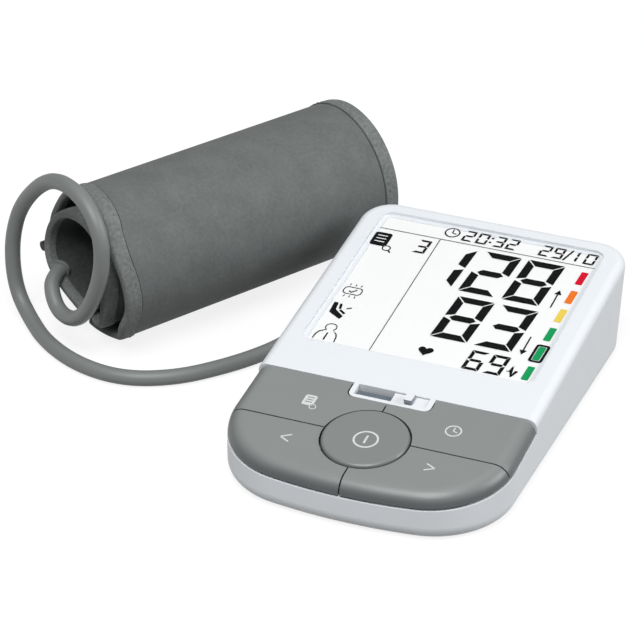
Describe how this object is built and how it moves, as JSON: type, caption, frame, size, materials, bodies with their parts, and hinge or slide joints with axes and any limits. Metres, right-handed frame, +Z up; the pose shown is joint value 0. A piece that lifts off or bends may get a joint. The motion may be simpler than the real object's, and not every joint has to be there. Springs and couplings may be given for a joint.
{
  "type": "upper-arm blood pressure monitor",
  "caption": "Blood pressure monitor with a sloping display, press keys and a user switch, joined by an air hose and plug to a rolled fabric arm cuff.",
  "frame": {"origin": "middle of the monitor's base, on the surface it stands on", "axes": "+Z up, +Y from the keys towards the display, so the user sits at -Y; the cuff lies to the left, at -X"},
  "size_m": [0.2467, 0.2295, 0.0801],
  "materials": {
    "white_abs": "satin",
    "grey_keycap": "satin",
    "start_button_abs": "satin",
    "clear_acrylic": "clear",
    "lcd_glass": "satin",
    "smoked_acrylic": "clear",
    "switch_slider_abs": "satin",
    "inner_white_plastic": "satin",
    "black_plastic": "satin",
    "circuit_board": "satin",
    "silicone": "matt",
    "foot_rubber": "matt",
    "zinc_steel": "bright",
    "nickel_spring": "bright",
    "battery_jacket": "gloss",
    "motor_steel": "satin",
    "grey_pvc": "satin",
    "grey_plug_plastic": "satin",
    "cuff_nylon": "woven",
    "lining_nylon": "woven",
    "binding_tape": "woven",
    "hook_tape": "matt",
    "bladder_tpu": "satin",
    "steel_bar": "satin"
  },
  "bodies": {
    "monitor": {"upper_housing": "white_abs", "lower_housing": "white_abs", "rubber_feet": "foot_rubber", "housing_screws": "zinc_steel", "pcb_screws": "zinc_steel", "batteries": "battery_jacket", "front_contacts": "nickel_spring", "rear_contacts": "nickel_spring", "battery_springs": "nickel_spring", "display_lens": "clear_acrylic", "lcd_panel": "lcd_glass", "lcd_holder": "inner_white_plastic", "lcd_connector": "silicone", "main_pcb": "circuit_board", "key_mat": "silicone", "switch_window": "smoked_acrylic", "user_switch": "black_plastic", "pump_head": "inner_white_plastic", "pump_motor": "motor_steel", "air_manifold": "inner_white_plastic", "valve_tube": "silicone", "release_valve": "motor_steel", "pressure_sensor": "black_plastic", "sensor_tube": "silicone", "buzzer": "black_plastic", "cuff_socket": "grey_plug_plastic"},
    "memory_key": {"memory_key": "grey_keycap"},
    "clock_key": {"clock_key": "grey_keycap"},
    "back_key": {"back_key": "grey_keycap"},
    "forward_key": {"forward_key": "grey_keycap"},
    "start_stop_button": {"start_stop_button": "start_button_abs"},
    "user_slider": {"user_slider": "switch_slider_abs"},
    "battery_door": {"battery_door": "white_abs"},
    "cuff_set": {"hose_plug": "grey_plug_plastic", "air_hose": "grey_pvc", "hose_port": "grey_plug_plastic", "cuff_cover": "cuff_nylon", "cuff_lining": "lining_nylon", "air_bladder": "bladder_tpu", "front_binding": "binding_tape", "rear_binding": "binding_tape", "fastener_patch": "hook_tape", "cuff_bar": "steel_bar", "bar_caps": "black_plastic", "bar_loop": "lining_nylon"}
  },
  "joints": [
    {"name": "memory_press", "type": "slide", "parent": "monitor", "child": "memory_key", "axis": [0, 0.1283, -0.9917], "range_m": [0, 0.0007], "stiffness_N_per_m": 800, "springref_m": -0.0005},
    {"name": "clock_press", "type": "slide", "parent": "monitor", "child": "clock_key", "axis": [0, 0.1283, -0.9917], "range_m": [0, 0.0007], "stiffness_N_per_m": 800, "springref_m": -0.0005},
    {"name": "back_press", "type": "slide", "parent": "monitor", "child": "back_key", "axis": [0, 0.1283, -0.9917], "range_m": [0, 0.0007], "stiffness_N_per_m": 800, "springref_m": -0.0005},
    {"name": "forward_press", "type": "slide", "parent": "monitor", "child": "forward_key", "axis": [0, 0.1283, -0.9917], "range_m": [0, 0.0007], "stiffness_N_per_m": 800, "springref_m": -0.0005},
    {"name": "start_stop_press", "type": "slide", "parent": "monitor", "child": "start_stop_button", "axis": [0, 0.1283, -0.9917], "range_m": [0, 0.0007], "stiffness_N_per_m": 800, "springref_m": -0.0005},
    {"name": "user_slide", "type": "slide", "parent": "monitor", "child": "user_slider", "axis": [-1, 0, 0], "range_m": [0, 0.0146]},
    {"name": "door_swing", "type": "hinge", "parent": "monitor", "child": "battery_door", "pos_m": [0, -0.0015, 0.0011], "axis": [-1, 0, 0], "range_deg": [0, 95]},
    {"name": "plug_pull", "type": "slide", "parent": "monitor", "child": "cuff_set", "axis": [-1, 0, 0], "range_m": [0, 0.0125]}
  ]
}
